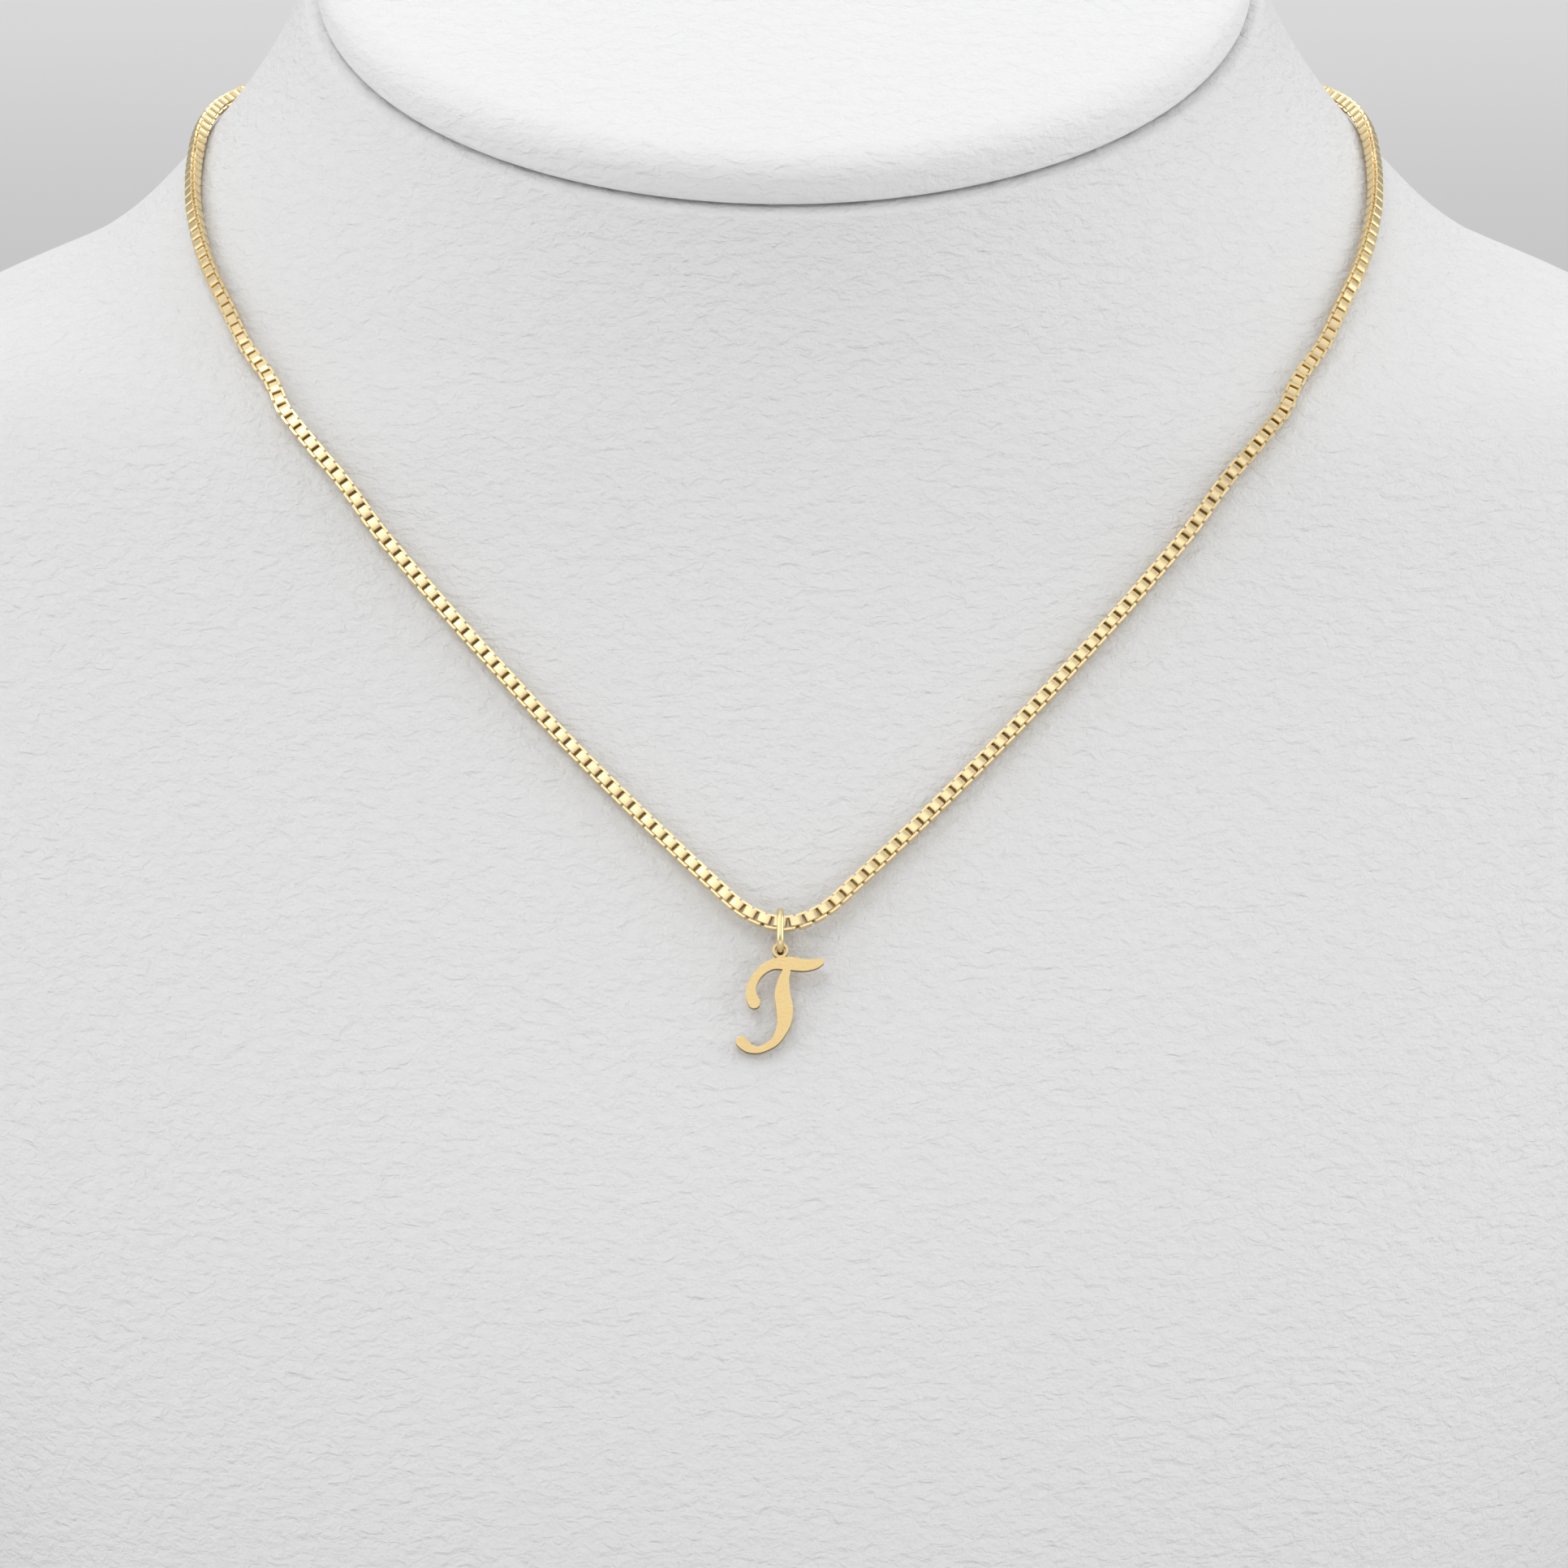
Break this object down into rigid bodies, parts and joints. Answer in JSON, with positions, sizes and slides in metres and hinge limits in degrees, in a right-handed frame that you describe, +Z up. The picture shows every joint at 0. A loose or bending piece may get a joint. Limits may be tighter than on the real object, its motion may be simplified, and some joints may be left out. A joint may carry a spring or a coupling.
{
  "type": "initial pendant on a box chain with a neck bust",
  "caption": "Flat script initial hung by an oval jump ring on a square box chain, worn by a leatherette neck bust with a padded slanted cap.",
  "frame": {"origin": "middle of the bust's flat base, at the bottom centre of the whole object's box", "axes": "X to the right as seen from the front, -Y out of the chest towards the viewer, +Z up"},
  "size_m": [0.227, 0.1465, 0.2296],
  "materials": {
    "leatherette": "fine grained white leatherette",
    "cap_leatherette": "smooth padded white leatherette",
    "gold_chain": "polished pale yellow gold",
    "gold": "polished yellow gold",
    "satin_gold": "satin yellow gold"
  },
  "bodies": {
    "root": {"neck_bust": "leatherette", "neck_cap": "cap_leatherette", "box_chain": "gold_chain", "clasp": "gold", "jump_ring": "gold", "letter_pendant": "satin_gold"}
  },
  "joints": []
}
